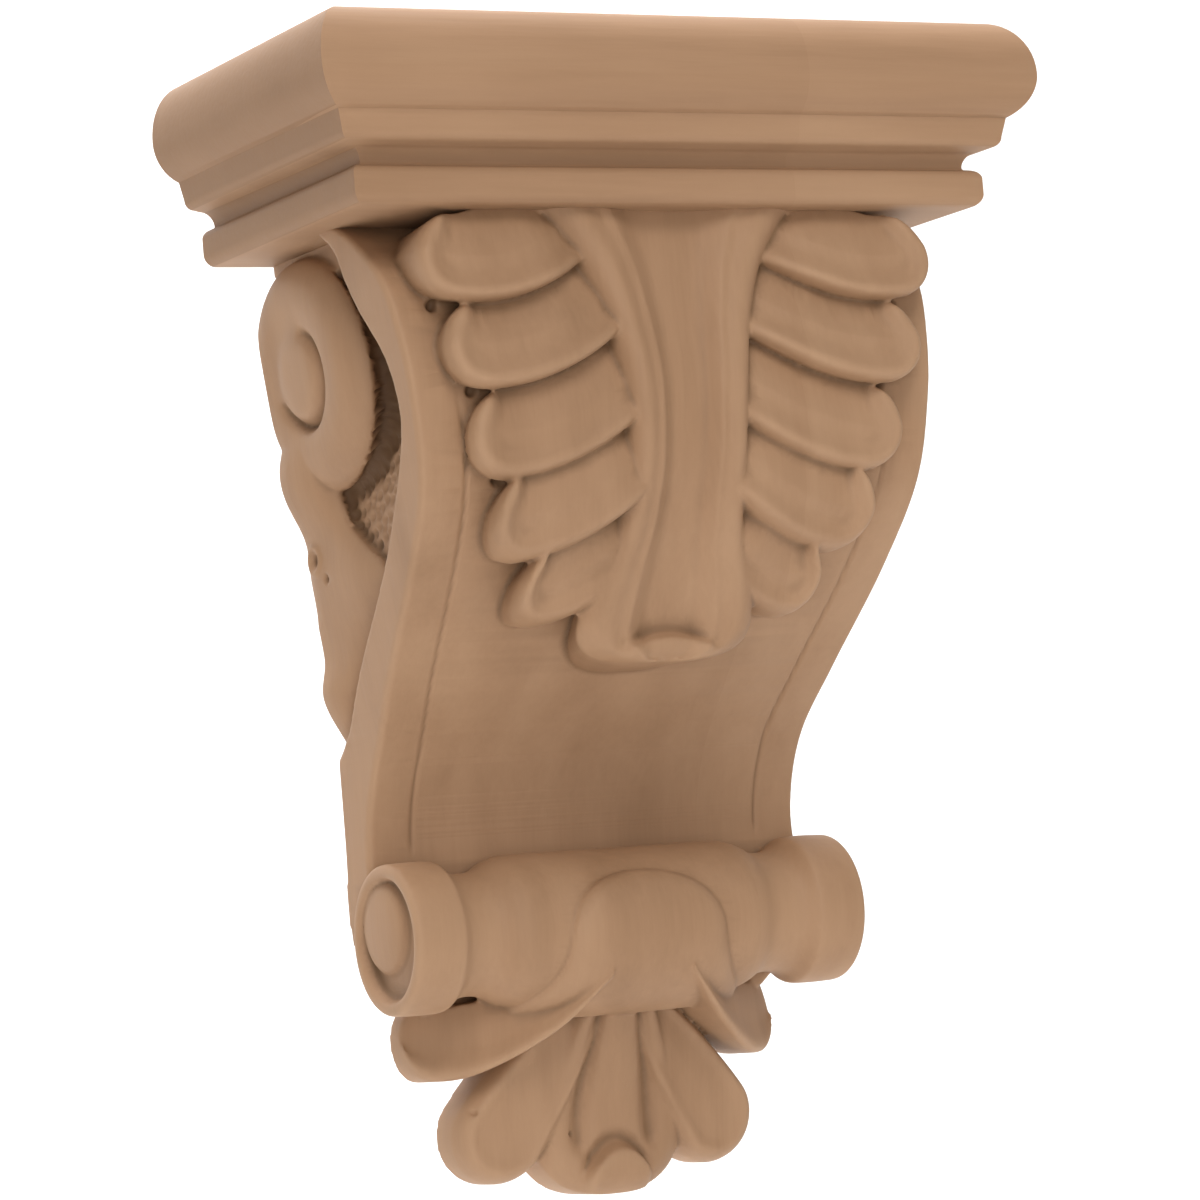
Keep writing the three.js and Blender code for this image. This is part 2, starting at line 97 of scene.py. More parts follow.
# %% Lofted forms
TIP_ANGLE = math.radians(86)
forms = []


def stations(straight, curved, start, fullness=2):
    angle = np.linspace(0, TIP_ANGLE, curved + 1)[1:]
    past = np.concatenate([np.zeros(straight + 1), np.sin(angle) ** (2 / fullness)])
    keep = np.concatenate([np.ones(straight + 1), np.cos(angle) ** (2 / fullness)])
    share = np.concatenate([np.linspace(0, start, straight + 1), start + (1 - start) * past[straight + 1:]])
    return share[:, None], keep[:, None], past[:, None]


def edgeward(side, keep, past, fullness=2):
    return (past ** fullness + (keep * np.abs(side)) ** fullness) ** (1 / fullness)


def loft(rings):
    count = rings.shape[1]
    points = np.concatenate([rings.reshape(-1, 3), rings[[0, -1]].mean(axis=1)])
    hubs = [len(points) - 2, len(points) - 1]
    quads = []
    for ring in range(len(rings) - 1):
        for i in range(count):
            a, b = ring * count + i, ring * count + (i + 1) % count
            quads.append((a, b, b + count, a + count))
    last = (len(rings) - 1) * count
    fans = [(hubs[0], (i + 1) % count, i) for i in range(count)]
    fans += [(hubs[1], last + i, last + (i + 1) % count) for i in range(count)]
    forms.append((points, quads + fans))


def loft_both_flanks(rings):
    loft(rings)
    loft((rings * [-1, 1, 1])[:, ::-1])


def lathe_across(radius, reach, centre, sides=96):
    angle = np.linspace(0, 2 * math.pi, sides, endpoint=False)[None, :]
    radius, reach = np.asarray(radius, float), np.asarray(reach, float)
    radius = radius[:, None] if radius.ndim == 1 else radius
    reach = reach[:, None] if reach.ndim == 1 else reach
    x, depth, drop = centre
    return at(x + reach, depth + radius * np.cos(angle), drop + radius * np.sin(angle))


# %% [markdown]
# The cap is a run of moulding mitred round three sides: a broad rounded nose, a fillet, a small ovolo,
# a cove and a bead. A joiner would plane this section with moulding planes. Here the section is drawn as
# arcs and swept as four-cornered rings, so that the mitres stay crisp.

# %% Moulded cap
NOSE = {"reach": 10.9, "rise": 15.2, "fall": 11.7, "end": math.radians(67)}
FILLET_INSET, FILLET_DROP, OVOLO_SIZE = 7.8, 30.8, 2.6
COVE_INSET, COVE_DROP, COVE_SIZE = 15.9, 37.8, 4
BEAD_INSET, BEAD_ROUND, BEAD_RISE = 12.1, 3.4, 2.8
CAP_DROP = 48.5
ARC_STEPS = 14


def arc(inset, drop, width, height, start, end):
    angle = np.linspace(start, end, ARC_STEPS)
    return np.stack([inset - width * np.cos(angle), drop - height * np.sin(angle)], axis=-1)


quarter = math.pi / 2
bead_middle = BEAD_INSET + BEAD_ROUND
cap_section = np.concatenate([
    arc(NOSE["reach"], NOSE["rise"], NOSE["reach"], NOSE["rise"], quarter, 0),
    arc(NOSE["reach"], NOSE["rise"], NOSE["reach"], NOSE["fall"], -NOSE["end"] / ARC_STEPS, -NOSE["end"]),
    arc(FILLET_INSET + OVOLO_SIZE, FILLET_DROP, OVOLO_SIZE, OVOLO_SIZE, 0, -quarter),
    arc(COVE_INSET - COVE_SIZE, COVE_DROP, COVE_SIZE, COVE_SIZE, quarter, 2 * quarter),
    arc(bead_middle, COVE_DROP + BEAD_ROUND, BEAD_ROUND, BEAD_RISE, quarter, 0),
    arc(bead_middle, CAP_DROP - BEAD_ROUND, BEAD_ROUND, BEAD_ROUND, 0, -quarter),
])


def open_box(half, front, drop):
    corners = [(-half, 0), (-half, front), (half, front), (half, 0)]
    return np.stack([at(x, depth, drop) for x, depth in corners], axis=1)


inset, drop = cap_section.T
loft(open_box(CAP_WIDTH / 2 - inset, CAP_DEPTH - inset, drop))
cap_form = forms.pop()
print("cap moulding:", len(cap_section), "points in its section")

# %% [markdown]
# Below the cap the bracket swells forward and then sweeps back to the wall in an S. Its flanks are cut
# back into a pocket, which leaves a raised rail along the S edge. A carver saws the S first and then
# sinks the pocket with gouges, so the core and the rails are lofted from the same curves.

# %% Bracket with its flank rails
BODY_DROPS = np.linspace(44, 248, 160)
POCKET_DEPTH = 9
half_width = batten((44, 81.8), (80, 77.8), (140, 70.8), (165, 67), (179, 64.6), (200, 64.4), (228, 64.4),
                    (240, 59), (250, 50))
front_face = batten((44, 50), (53, 66), (65, 78.5), (80, 83.5), (97, 84.5), (119, 79.5), (140, 63),
                    (165, 38), (184, 21.5), (202, 14.5), (226, 16), (250, 12))
rail_inner = batten((44, 40), (53, 53), (62, 57), (70, 61.5), (84, 71.5), (97, 74.3), (107, 71),
                    (121, 61.3), (137, 47.5), (158, 24), (172, 10), (181, 0), (250, 0))
RAIL_OVERLAP, RAIL_EASE = 2, 1.6

loft(open_box(half_width(BODY_DROPS) - POCKET_DEPTH, front_face(BODY_DROPS), BODY_DROPS))

rail_outer = half_width(BODY_DROPS)
rail_root = rail_outer - POCKET_DEPTH - RAIL_OVERLAP
rail_front = front_face(BODY_DROPS)
rail_back = np.maximum(0, rail_inner(BODY_DROPS))
eased_back = np.minimum(RAIL_EASE, rail_back)
rail_corners = [
    (rail_root, rail_back), (rail_root, rail_front), (rail_outer - RAIL_EASE / 2, rail_front),
    (rail_outer, rail_front - RAIL_EASE), (rail_outer, rail_back + eased_back),
    (rail_outer - eased_back, rail_back),
]
loft_both_flanks(np.stack([at(x, depth, BODY_DROPS) for x, depth in rail_corners], axis=1))
print("bracket: core and two rails")

# %% [markdown]
# The front leaf has five spoon-shaped lobes on each side. Each is a shallow dish with a thick rolled rim
# along its lower edge and round its end, and it slips under the lobe above. The lobe is a loft along a
# sagging spine, raised square to the face behind it, and undercut below so that its rim throws a shadow.

# %% Lobes of the front leaf
LEAF_TUCK, LEAF_FULL_DROP, LEAF_BED = 79, 80, 7
LOBES = [
    {"root": (30, 52), "tip": (74, 58.5), "half": 11.4, "stand": 4.5},
    {"root": (20, 69), "tip": (69, 82.5), "half": 11.4, "stand": 3},
    {"root": (14, 89), "tip": (63, 105.5), "half": 11.4, "stand": 1},
    {"root": (13, 109), "tip": (55.5, 126), "half": 10.8, "stand": 2.5},
    {"root": (14, 128), "tip": (43.5, 141.5), "half": 10, "stand": 4},
]
LOBE_SAG, LOBE_ROUND_FROM, LOBE_DISH, LOBE_COVER, LOBE_UNDERCUT = 11, 0.78, 5.2, 3.4, 2.6
LOBE_COVER_END, LOBE_UPPER_CALM = 0.6, 0.75
lobe_spread = batten((0, 0.9), (0.6, 1), (1, 1))
lobe_tuck = batten((0, 1.5), (0.4, 1.3), (0.75, 1), (1, 1))
lobe_sink = batten((0, 0.4), (0.12, 0.75), (0.3, 1), (1, 1))
lobe_section = batten((0, LOBE_DISH), (0.3, 5.4), (0.52, 6.2), (0.7, 7.1), (0.82, 7.3), (0.91, 6.6),
                      (0.97, 5), (1, 2.5))
ACROSS = np.linspace(-1, 1, 49)[None, :]
BOTH_SIDES = np.array([[1, -1]])


def leaf_base(drop):
    full = front_face(LEAF_FULL_DROP)
    tucked = LEAF_TUCK + (drop - 44) / (LEAF_FULL_DROP - 44) * (full - LEAF_TUCK)
    return np.where(drop < LEAF_FULL_DROP, tucked, front_face(drop))


def leaf_bed(drop):
    return np.minimum(leaf_base(drop), front_face(drop)) - LEAF_BED


def proud(drop, height):
    return leaf_base(drop) + height * np.hypot(1, slope_of(leaf_base, drop))


def lobe(root, tip, half, stand):
    share, keep, past = stations(28, 18, LOBE_ROUND_FROM)
    start, end = np.array(root, float), np.array(tip, float)
    bend = (start + end) / 2 + [0, LOBE_SAG]
    spine = (1 - share) ** 2 * start + 2 * share * (1 - share) * bend + share ** 2 * end
    along = 2 * (1 - share) * (bend - start) + 2 * share * (end - bend)
    along /= np.linalg.norm(along, axis=1, keepdims=True)
    downward = np.stack([-along[:, 1], along[:, 0]], axis=1)
    width = half * keep * lobe_spread(share)
    side = np.where(ACROSS < 0, ACROSS * lobe_tuck(share), ACROSS)
    spot = spine[:, None] + downward[:, None] * (width * side)[..., None]
    covered = np.where(ACROSS < 0, 1 - smoothstep(past, 0, LOBE_COVER_END), 0)
    rim = lobe_section(edgeward(ACROSS, keep, past))
    rim -= np.maximum(rim - LOBE_DISH, 0) * np.maximum(-ACROSS, 0) * LOBE_UPPER_CALM
    lift = (stand + rim + (LOBE_DISH + LOBE_COVER * side - rim) * covered) * lobe_sink(share)
    top = at(spot[..., 0], proud(spot[..., 1], lift), spot[..., 1])
    bed_width = np.maximum(width - LOBE_UNDERCUT, width / 4) * BOTH_SIDES
    bed_spine = spine - along * LOBE_UNDERCUT * past
    bed = bed_spine[:, None] + downward[:, None] * bed_width[..., None]
    under = at(bed[..., 0], leaf_bed(bed[..., 1]), bed[..., 1])
    return np.concatenate([top, under], axis=1)


for sizes in LOBES:
    loft_both_flanks(lobe(**sizes))
print("leaf:", 2 * len(LOBES), "lobes")

# %% [markdown]
# Down the middle of the leaf runs a hollow strap between two rolled rims. It flares under the cap, and
# its square-cornered tip lifts clear of the face and turns up in a small lip.

# %% Central strap
STRAP_TOP, STRAP_TIP, STRAP_ROUND, STRAP_FULLNESS = 44, 163, 13, 3
LIP_HALF, LIP_RISE, LIP_TOP, LIP_ARCH, LIP_EASE = 17, 5, 156, 5.5, 1.8
strap_half = batten((44, 42), (52, 34), (65, 25.5), (85, 19.5), (110, 17.5), (130, 19), (148, 25),
                    (163, 27))
strap_lift = batten((44, 1), (120, 0), (130, 2.5), (140, 6.5), (155, 14.5), (163, 19.5))
strap_undercut = batten((44, 1), (120, 1), (150, 0.66), (163, 0.6))
strap_section = batten((0, 3.6), (0.28, 4.1), (0.42, 6.3), (0.5, 7.6), (0.57, 7.3), (0.65, 8),
                       (0.75, 8.5), (1, 7.6))
strap_rounding = batten((0, 0), (0.7, 0), (0.85, 0.6), (0.95, 2.4), (1, 4.6))


def strap():
    share, keep, past = stations(80, 22, 1 - STRAP_ROUND / (STRAP_TIP - STRAP_TOP), STRAP_FULLNESS)
    drop = STRAP_TOP + (STRAP_TIP - STRAP_TOP) * share
    half = strap_half(drop) * keep
    across = (ACROSS * half / LIP_HALF) ** 2
    turned_up = smoothstep(drop - LIP_ARCH * across, LIP_TOP - LIP_EASE, LIP_TOP + LIP_EASE)
    lip = LIP_RISE * np.maximum(0, 1 - across) * turned_up
    rim = strap_section(np.abs(ACROSS)) - strap_rounding(edgeward(ACROSS, keep, past, STRAP_FULLNESS))
    top = at(half * ACROSS, leaf_base(drop) + strap_lift(drop) + rim + lip, drop)
    foot = half * strap_undercut(drop) * BOTH_SIDES
    return np.concatenate([top, at(foot, leaf_bed(drop), drop)], axis=1)


loft(strap())
print("strap:", STRAP_TIP - STRAP_TOP, "mm long")

# %% [markdown]
# Each pocket holds a volute: a flat round boss inside one rolled turn. The groove between them is a
# spiral that is deep at the lower front and dies away towards the back, so the height depends on the
# angle as well as the radius. A tendril leaves the volute and runs down the back edge of the flank.

# %% Flank volute and tendril
VOLUTE_DEPTH, VOLUTE_DROP, VOLUTE_RADIUS = 19.5, 80.5, 31
GROOVE_RADIUS, GROOVE_HALF, GROOVE_DEPTH, GROOVE_DRIFT = 12.8, 1.5, 4.4, 1.6
GROOVE_MIDDLE, GROOVE_REACH = math.radians(45), math.radians(115)
VOLUTE_RINGS, VOLUTE_SIDES, VOLUTE_HUB, VOLUTE_SEAT, GROOVE_FADE = 72, 128, 0.2, -3.0, 0.6
volute_section = batten((0, 8.8), (7.5, 8.6), (12, 7.6), (15, 7.7), (19, 8.2), (23.5, 7.8), (27, 6),
                        (30, 2.8), (31, -1))


def volute():
    radius = np.linspace(VOLUTE_RADIUS, VOLUTE_HUB, VOLUTE_RINGS)[:, None]
    angle = np.linspace(0, 2 * math.pi, VOLUTE_SIDES, endpoint=False)[None, :]
    turn = np.angle(np.exp(1j * (angle - GROOVE_MIDDLE)))
    deep = GROOVE_DEPTH * np.cos(np.clip(turn / GROOVE_REACH, -1, 1) * quarter) ** GROOVE_FADE
    middle = GROOVE_RADIUS + GROOVE_DRIFT * turn / math.pi
    height = volute_section(radius) - deep * np.exp(-((radius - middle) / GROOVE_HALF) ** 2)
    bottom = np.full((1, angle.size), VOLUTE_SEAT)
    radius = np.concatenate([[[VOLUTE_RADIUS]], radius])
    reach = np.concatenate([bottom, height])
    lean = slope_of(half_width, VOLUTE_DROP)
    flank = half_width(VOLUTE_DROP) - POCKET_DEPTH + lean * radius * np.sin(angle)
    return at(flank + reach, VOLUTE_DEPTH + radius * np.cos(angle), VOLUTE_DROP + radius * np.sin(angle))


TENDRIL_DROPS = np.linspace(96, 179, 90)[:, None]
tendril_depth = batten((96, 10), (104, 6), (112, 5), (122, 5), (132, 7), (141, 5), (146, 1), (163, 2),
                       (180, 2))
tendril_half = batten((96, 15), (104, 15), (112, 12), (122, 10), (132, 12), (141, 10), (146, 7),
                      (163, 10), (180, 7))
tendril_front = batten((96, 15), (104, 15), (112, 14), (120, 17), (128, 25), (134, 31), (141, 29),
                       (150, 23), (158, 17), (166, 10), (180, 6))
tendril_height = batten((96, 8), (104, 9.6), (111, 9.2), (122, 5.6), (132, 6.4), (153, 6.2), (164, 9.2),
                        (180, 4))
tendril_section = batten((0, 1), (0.35, 0.94), (0.7, 0.74), (1, 0.28))


def tendril():
    ground = half_width(TENDRIL_DROPS) - POCKET_DEPTH
    middle, half = tendril_depth(TENDRIL_DROPS), tendril_half(TENDRIL_DROPS)
    rise = tendril_height(TENDRIL_DROPS) * tendril_section(np.abs(ACROSS))
    front = tendril_front(TENDRIL_DROPS)
    crown = at(ground + rise, middle + np.where(ACROSS > 0, front, half) * ACROSS, TENDRIL_DROPS)
    under = at(ground - RAIL_OVERLAP, middle + np.concatenate([front, -half], axis=1), TENDRIL_DROPS)
    return np.concatenate([crown, under], axis=1)


loft_both_flanks(volute())
loft_both_flanks(tendril())
print("flanks: two volutes and two tendrils")

# %% [markdown]
# A turned roll lies across the foot: a barrel, two hollow necks and two drums whose ends are sunk, with a
# round boss standing off-centre in each. On the real thing this was shaped in place, but its section is
# round, so a lathe profile describes it best.

# %% Roll
ROLL_DEPTH, ROLL_DROP, BARREL_RADIUS, DRUM_OUTER = 25, 228.6, 20, 67
roll_radius = batten((0, 20), (32, 20), (36.5, 18.8), (40.5, 16.6), (45.2, 16), (49.5, 16.8), (52.1, 18.7),
                     (53.3, 19.7), (65.6, 19.7), (66.6, 19.2), (67, 18.4))
DRUM_FACE = [(16.9, 67), (16.4, 66.6), (15.2, 63.9), (14.6, 63.6), (0.2, 63.6)]
BOSS = [(11.9, -2), (11.9, 0.4), (11.5, 1.4), (10.4, 2.2), (7.6, 2.9), (4, 3.2), (0.2, 3.3)]
BOSS_DEPTH, BOSS_DROP, BOSS_SEAT = 21.2, 225.4, 3.4

reach = np.linspace(0, DRUM_OUTER, 120)
half_roll = np.concatenate([np.stack([roll_radius(reach), reach], axis=1), DRUM_FACE])
whole_roll = np.concatenate([half_roll[:0:-1] * [1, -1], half_roll])
loft(lathe_across(whole_roll[:, 0], whole_roll[:, 1], (0, ROLL_DEPTH, ROLL_DROP)))
boss_radius, boss_height = np.array(BOSS).T
loft_both_flanks(lathe_across(boss_radius, boss_height, (DRUM_OUTER - BOSS_SEAT, BOSS_DEPTH, BOSS_DROP)))
print("roll:", 2 * DRUM_OUTER, "mm long")

# %% [markdown]
# A last leaf wraps the roll from below. Its tongue laps up over the barrel, two side leaves sweep out
# under the drums to the wall, and three fluted lobes hang below as the drop. The middle lobe curls up at
# its tip. The tongue is laid out by its angle round the roll, the others by depth and drop.

# %% Foot leaf and drop
TONGUE_FOOT, TONGUE_APEX, TONGUE_ROUND_FROM, TONGUE_BED = math.radians(-86), math.radians(40), 0.62, 5
tongue_half = batten((0, 34), (0.2, 30), (0.4, 25), (0.62, 22.5), (1, 22.5))
tongue_section = batten((0, 4), (0.4, 3.95), (0.7, 3.5), (0.88, 2.7), (1, 1.2))
SIDE_LEAF_ROUND_FROM = 0.84
side_leaf_x = batten((0, 12), (0.3, 25), (0.65, 42), (1, 56))
side_leaf_drop = batten((0, 238), (0.3, 249), (0.65, 256), (1, 255.5))
side_leaf_depth = batten((0, 44), (0.3, 34.5), (0.65, 19), (1, 6))
side_leaf_half = batten((0, 5), (0.3, 7), (0.65, 9.5), (1, 10))
side_leaf_section = batten((-1, -1), (-0.5, 0), (0.2, 0.6), (0.7, 2.4), (0.88, 2), (1, -0.4))
DROP_SIDE_ROOT, DROP_SIDE_TIP, DROP_SIDE_HALF = (8, 249), (39.5, 292), 12.8
DROP_SIDE_ROUND_FROM, DROP_SIDE_DEPTH = 0.755, (24, 14)
drop_side_spread = batten((0, 0.4), (0.35, 0.8), (0.7, 1), (1, 1))
drop_side_fall = batten((0, 0.5), (0.5, 0.6), (0.74, 0), (0.86, 1), (0.94, 3), (1, 6))
DROP_TOP, DROP_TIP, DROP_ROUND_FROM, DROP_FULLNESS, DROP_LIP_HALF = 244, 299.8, 0.64, 2.5, 10
DROP_LIP_TOP, DROP_LIP_ARCH, DROP_LIP_EASE, DROP_LIP_RISE, DROP_LIP_DENT = 287, 8, 1.5, 3.4, 2
drop_half = batten((0, 9), (0.3, 16.5), (0.6, 22), (1, 22))
drop_front = batten((0, 30), (0.3, 24), (0.62, 18.4), (1, 18))
drop_fall = batten((0, 0), (0.5, 0.2), (0.8, 1.8), (0.92, 3.7), (1, 6))
drop_groove = batten((0, 0), (0.3, 0.25), (0.48, 1), (0.62, 0.3), (0.75, 0), (1, 0))
drop_flute = batten((0, 3.2), (0.7, 3.2), (0.85, 0), (1, 0))
DROP_DENT_ABOVE, DROP_LIP_FADE = 1.5, (1.3, 0.6)


def tongue():
    share, keep, past = stations(40, 24, TONGUE_ROUND_FROM)
    angle = TONGUE_FOOT + (TONGUE_APEX - TONGUE_FOOT) * share

    def spot(side, radius):
        across = tongue_half(share) * keep * side
        return at(across, ROLL_DEPTH + radius * np.cos(angle), ROLL_DROP - radius * np.sin(angle))

    top = spot(ACROSS, BARREL_RADIUS + tongue_section(edgeward(ACROSS, keep, past)))
    return np.concatenate([top, spot(BOTH_SIDES, BARREL_RADIUS - TONGUE_BED)], axis=1)


def side_leaf():
    share, keep, _ = stations(40, 16, SIDE_LEAF_ROUND_FROM)
    half, x, drop = side_leaf_half(share) * keep, side_leaf_x(share), side_leaf_drop(share)
    top = at(x, side_leaf_depth(share) + side_leaf_section(ACROSS), drop + half * ACROSS)
    return np.concatenate([top, at(x, 0, drop + half * BOTH_SIDES)], axis=1)


def drop_side():
    share, keep, past = stations(36, 22, DROP_SIDE_ROUND_FROM)
    start, end = np.array(DROP_SIDE_ROOT, float), np.array(DROP_SIDE_TIP, float)
    along = (end - start) / np.linalg.norm(end - start)
    outward = np.array([along[1], -along[0]])
    half = DROP_SIDE_HALF * drop_side_spread(share) * keep
    front = DROP_SIDE_DEPTH[0] + (DROP_SIDE_DEPTH[1] - DROP_SIDE_DEPTH[0]) * share
    middle = start + (end - start) * share

    def place(side, depth):
        return at(middle[:, :1] + outward[0] * half * side, depth, middle[:, 1:] + outward[1] * half * side)

    top = place(ACROSS, front - drop_side_fall(edgeward(ACROSS, keep, past)))
    return np.concatenate([top, place(BOTH_SIDES, 0)], axis=1)


def drop_middle():
    share, keep, past = stations(50, 30, DROP_ROUND_FROM, DROP_FULLNESS)
    drop = DROP_TOP + (DROP_TIP - DROP_TOP) * share
    half = drop_half(share) * keep
    across = (ACROSS * half / DROP_LIP_HALF) ** 2
    below_arch = (drop - DROP_LIP_ARCH * across - DROP_LIP_TOP) / DROP_LIP_EASE
    dent = DROP_LIP_DENT * np.exp(-(below_arch + DROP_DENT_ABOVE) ** 2 / 2)
    lip = (DROP_LIP_RISE * smoothstep(below_arch, -1, 1) - dent) * smoothstep(across, *DROP_LIP_FADE)
    flute = drop_flute(share) * drop_groove(np.abs(ACROSS))
    fall = drop_fall(edgeward(ACROSS, keep, past, DROP_FULLNESS))
    top = at(half * ACROSS, drop_front(share) - flute - fall + lip, drop)
    return np.concatenate([top, at(half * BOTH_SIDES, 0, drop)], axis=1)


loft(tongue())
loft_both_flanks(side_leaf())
loft_both_flanks(drop_side())
loft(drop_middle())
print("foot: tongue, side leaves and a three-lobed drop;", len(forms), "forms in all")

# %% [markdown]
# The real corbel is one block of wood, so the forms become one skin. A voxel remesh fuses every shell
# that overlaps and eases the inner corners, much as a gouge and sandpaper do. A little smoothing takes
# away the voxel steps. The cap is kept out of this, because its mitres and fillets must stay crisp.

# %% One skin
VOXEL = 0.6 * MILLIMETRE
SANDING_PASSES, SANDING_FORCE = 5, 0.5


def join_forms(name, shells):
    points, faces, offset = [], [], 0
    for form_points, form_faces in shells:
        points.append(form_points * MILLIMETRE)
        faces += [tuple(i + offset for i in face) for face in form_faces]
        offset += len(form_points)
    mesh = bpy.data.meshes.new(name)
    mesh.from_pydata(np.concatenate(points).tolist(), [], faces)
    shell = bmesh.new()
    shell.from_mesh(mesh)
    bmesh.ops.recalc_face_normals(shell, faces=shell.faces)
    shell.to_mesh(mesh)
    shell.free()
    piece = bpy.data.objects.new(name, mesh)
    bpy.context.scene.collection.objects.link(piece)
    return piece


def apply_modifiers(piece):
    evaluated = piece.evaluated_get(bpy.context.evaluated_depsgraph_get())
    finished = bpy.data.meshes.new_from_object(evaluated)
    piece.modifiers.clear()
    piece.data = finished


corbel = join_forms("carved_corbel", forms)
fuse = corbel.modifiers.new("fuse", "REMESH")
fuse.mode = "VOXEL"
fuse.voxel_size = VOXEL
sand = corbel.modifiers.new("sand", "SMOOTH")
sand.factor = SANDING_FORCE
sand.iterations = SANDING_PASSES
apply_modifiers(corbel)
print("one skin:", len(corbel.data.vertices), "vertices")

# %% [markdown]
# Some marks are too small for the big forms. A V-tool has run a fine line down each side of the front,
# a drill has opened a small eye in every notch between two lobes and a ringed one on the tendril, and
# a punch has stippled the sunk ground of the pocket. Each is a small push along the surface normal.

# %% Fine cuts
LINE_INSET, LINE_HALF, LINE_DEPTH, LINE_SPAN = 12.5, 0.55, 0.7, (92, 108, 203, 208)
STIPPLE_PITCH, STIPPLE_DEPTH = 3.2, 0.8
ground_sink = batten((56, 3), (75, 5.5), (100, 5.5), (115, 2), (125, 0.6), (165, 0))
NOTCH_EYES = [(67.4, 72.4), (59.8, 94.4), (52.6, 116.5)]
NOTCH_RADIUS, NOTCH_DEPTH = 1.4, 2
TENDRIL_EYES = [(5.5, 127.6, 1.5, 3.4), (11.1, 132.9, 1.1, 0)]
EYE_DEPTH, RING_RISE, RING_HALF = 2, 0.8, 0.8
PITS = [(-40.6, 274.9), (-12.6, 282.9)]
PIT_RADIUS, PIT_DEPTH, PIT_TURN = 0.8, 0.9, 0.2
FRONT_TURN, FRONT_NEAR, NOTCH_NEAR, FACING_A_LITTLE = 0.25, 1.5, 4, 0.1
GROUND_RISE, GROUND_FADE_DEPTHS, GROUND_TURN, GROUND_TOP = (0.3, 2.5), (8, 26), 0.4, 56
STIPPLE_TURN, STIPPLE_SPREAD, STIPPLE_DOT = (0.7, 0.9), 0.35, 0.4
STIPPLE_MIX = ((12.9, 78.2), (39.3, 11.1))


def mesh_arrays(mesh):
    points = np.empty(len(mesh.vertices) * 3)
    mesh.vertices.foreach_get("co", points)
    normals = np.empty(len(mesh.vertices) * 3)
    mesh.vertex_normals.foreach_get("vector", normals)
    return points.reshape(-1, 3), normals.reshape(-1, 3)


def dot(distance, radius):
    return np.exp(-(distance / radius) ** 4)


def punched(depth, drop):
    nearest = np.full(depth.shape, 3 * STIPPLE_PITCH)
    cell_x, cell_y = np.floor(depth / STIPPLE_PITCH), np.floor(drop / STIPPLE_PITCH)
    for step_x in (-1, 0, 1):
        for step_y in (-1, 0, 1):
            u, v = cell_x + step_x, cell_y + step_y
            shift_x, shift_y = [0.5 + STIPPLE_SPREAD * np.sin(a * u + b * v) for a, b in STIPPLE_MIX]
            away = np.hypot(depth - (u + shift_x) * STIPPLE_PITCH, drop - (v + shift_y) * STIPPLE_PITCH)
            nearest = np.minimum(nearest, away)
    return dot(nearest, STIPPLE_DOT * STIPPLE_PITCH)


def fine_cuts(piece):
    points, normals = mesh_arrays(piece.data)
    x, depth, drop = points.T / MILLIMETRE * [[1], [-1], [-1]] + [[0], [0], [HEIGHT / 2]]
    reach, flankward, frontward = np.abs(x), normals[:, 0] * np.sign(x), -normals[:, 1]
    on_front = (frontward > FRONT_TURN) & (np.abs(depth - front_face(drop)) < FRONT_NEAR)
    fade = smoothstep(drop, *LINE_SPAN[:2]) * (1 - smoothstep(drop, *LINE_SPAN[2:]))
    from_line = (reach - half_width(drop) + LINE_INSET) / LINE_HALF
    cut = LINE_DEPTH * on_front * fade * np.exp(-from_line ** 2)
    above_ground = reach - half_width(drop) + POCKET_DEPTH
    ground = (1 - smoothstep(above_ground, *GROUND_RISE)) * smoothstep(depth, *GROUND_FADE_DEPTHS)
    ground *= (above_ground > -1) & (flankward > GROUND_TURN)
    ground *= (depth < rail_inner(drop) + 1) & (drop > GROUND_TOP)
    stipple = STIPPLE_DEPTH * punched(depth, drop) * smoothstep(flankward, *STIPPLE_TURN)
    cut += ground * (ground_sink(drop) + stipple)
    for eye_x, eye_drop in NOTCH_EYES:
        away = np.hypot(reach - eye_x, drop - eye_drop)
        in_notch = (frontward > FACING_A_LITTLE) & (np.abs(depth - leaf_base(drop)) < NOTCH_NEAR)
        cut += NOTCH_DEPTH * dot(away, NOTCH_RADIUS) * in_notch
    for eye_depth, eye_drop, radius, ring in TENDRIL_EYES:
        away = np.hypot(depth - eye_depth, drop - eye_drop)
        on_flank = flankward > FACING_A_LITTLE
        cut += EYE_DEPTH * dot(away, radius) * on_flank
        cut -= RING_RISE * np.exp(-((away - ring) / RING_HALF) ** 2) * on_flank * (ring > 0)
    for pit_x, pit_drop in PITS:
        cut += PIT_DEPTH * dot(np.hypot(x - pit_x, drop - pit_drop), PIT_RADIUS) * (frontward > PIT_TURN)
    points -= normals * (cut * MILLIMETRE)[:, None]
    piece.data.vertices.foreach_set("co", points.ravel())
    piece.data.update()
    print("fine cuts moved", int((np.abs(cut) > 0.05).sum()), "points")


fine_cuts(corbel)

# %% [markdown]
# The hollows are given painted shade and the crests are made a little paler. To know which is which, each
# point is compared with the same surface after heavy smoothing: a point that lies below the smoothed
# surface is in a hollow, and one that lies above it is on a crest.

# %% Hollows and crests
HOLLOW_PASSES = 40
HOLLOW_DEPTH, HOLLOW_FLOOR = 0.9 * MILLIMETRE, 0.25


def relax(points, edges, passes):
    count = len(points)
    degree = np.bincount(edges.ravel(), minlength=count)[:, None]
    for _ in range(passes):
        total = np.stack([
            np.bincount(edges[:, 0], points[edges[:, 1], k], count)
            + np.bincount(edges[:, 1], points[edges[:, 0], k], count) for k in range(3)
        ], axis=1)
        points = total / degree
    return points


